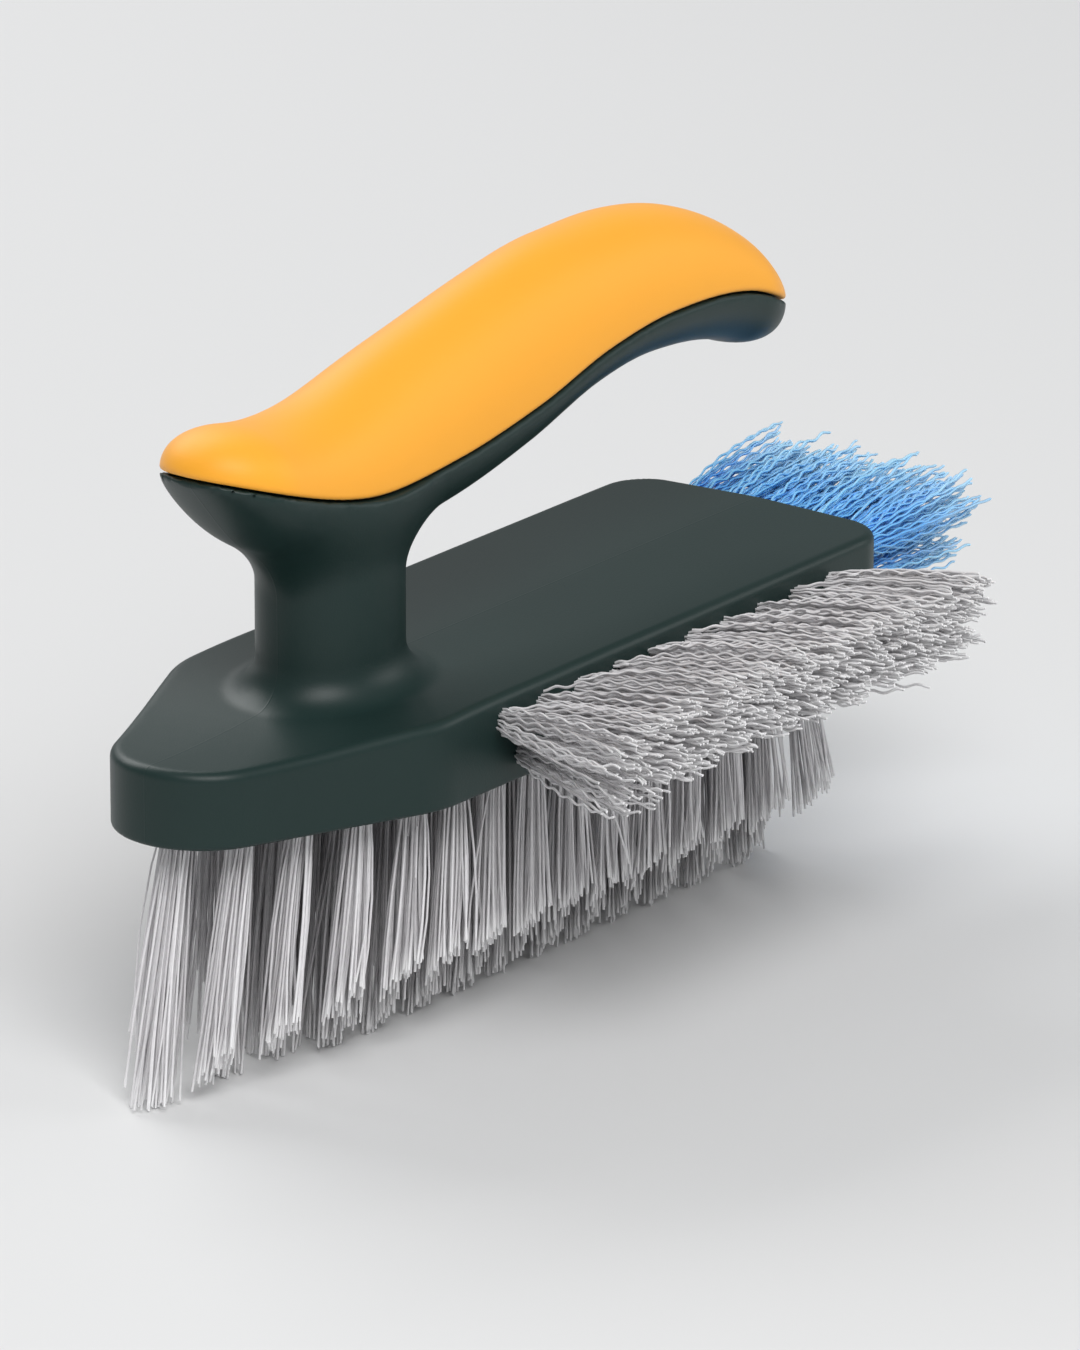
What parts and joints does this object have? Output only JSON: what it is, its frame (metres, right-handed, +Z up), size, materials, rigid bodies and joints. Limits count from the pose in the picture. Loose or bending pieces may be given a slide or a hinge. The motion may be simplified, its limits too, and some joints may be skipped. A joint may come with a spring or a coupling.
{
  "type": "grout brush",
  "caption": "Grout and scrub brush: pointed block with straight tufts below, crimped tufts along one side and the rear end, and an arched soft-topped handle on one column",
  "frame": {"origin": "under the middle of the whole brush, on the plane that the bottom tips stand on", "axes": "+X to the rear end, the nose at -X; the crimped side tufts at -Y; +Z up"},
  "size_m": [0.246, 0.1064, 0.1477],
  "materials": {
    "green_plastic": "satin",
    "orange_grip": "soft satin",
    "grey_bristle": "translucent nylon sheen",
    "blue_bristle": "translucent nylon sheen",
    "wire": "plain strip"
  },
  "bodies": {
    "root": {"block_and_handle": "green_plastic", "soft_grip": "orange_grip", "bottom_anchors": "wire", "side_anchors": "wire", "rear_anchors": "wire", "bottom_tufts_1": "grey_bristle", "bottom_tufts_2": "grey_bristle", "bottom_tufts_3": "grey_bristle", "bottom_tufts_4": "grey_bristle", "bottom_tufts_5": "grey_bristle", "bottom_tufts_6": "grey_bristle", "bottom_tufts_7": "grey_bristle", "bottom_tufts_8": "grey_bristle", "bottom_tufts_9": "grey_bristle", "bottom_tufts_10": "grey_bristle", "bottom_tufts_11": "grey_bristle", "bottom_tufts_12": "grey_bristle", "bottom_tufts_13": "grey_bristle", "bottom_tufts_14": "grey_bristle", "bottom_tufts_15": "grey_bristle", "side_tuft_upper_1": "grey_bristle", "side_tuft_upper_2": "grey_bristle", "side_tuft_upper_3": "grey_bristle", "side_tuft_upper_4": "grey_bristle", "side_tuft_upper_5": "grey_bristle", "side_tuft_upper_6": "grey_bristle", "side_tuft_upper_7": "grey_bristle", "side_tuft_upper_8": "grey_bristle", "side_tuft_upper_9": "grey_bristle", "side_tuft_upper_10": "grey_bristle", "side_tuft_lower_1": "grey_bristle", "side_tuft_lower_2": "grey_bristle", "side_tuft_lower_3": "grey_bristle", "side_tuft_lower_4": "grey_bristle", "side_tuft_lower_5": "grey_bristle", "side_tuft_lower_6": "grey_bristle", "side_tuft_lower_7": "grey_bristle", "side_tuft_lower_8": "grey_bristle", "side_tuft_lower_9": "grey_bristle", "rear_tuft_upper_1": "blue_bristle", "rear_tuft_upper_2": "blue_bristle", "rear_tuft_upper_3": "blue_bristle", "rear_tuft_upper_4": "blue_bristle", "rear_tuft_upper_5": "blue_bristle", "rear_tuft_lower_1": "blue_bristle", "rear_tuft_lower_2": "blue_bristle", "rear_tuft_lower_3": "blue_bristle", "rear_tuft_lower_4": "blue_bristle"}
  },
  "joints": []
}
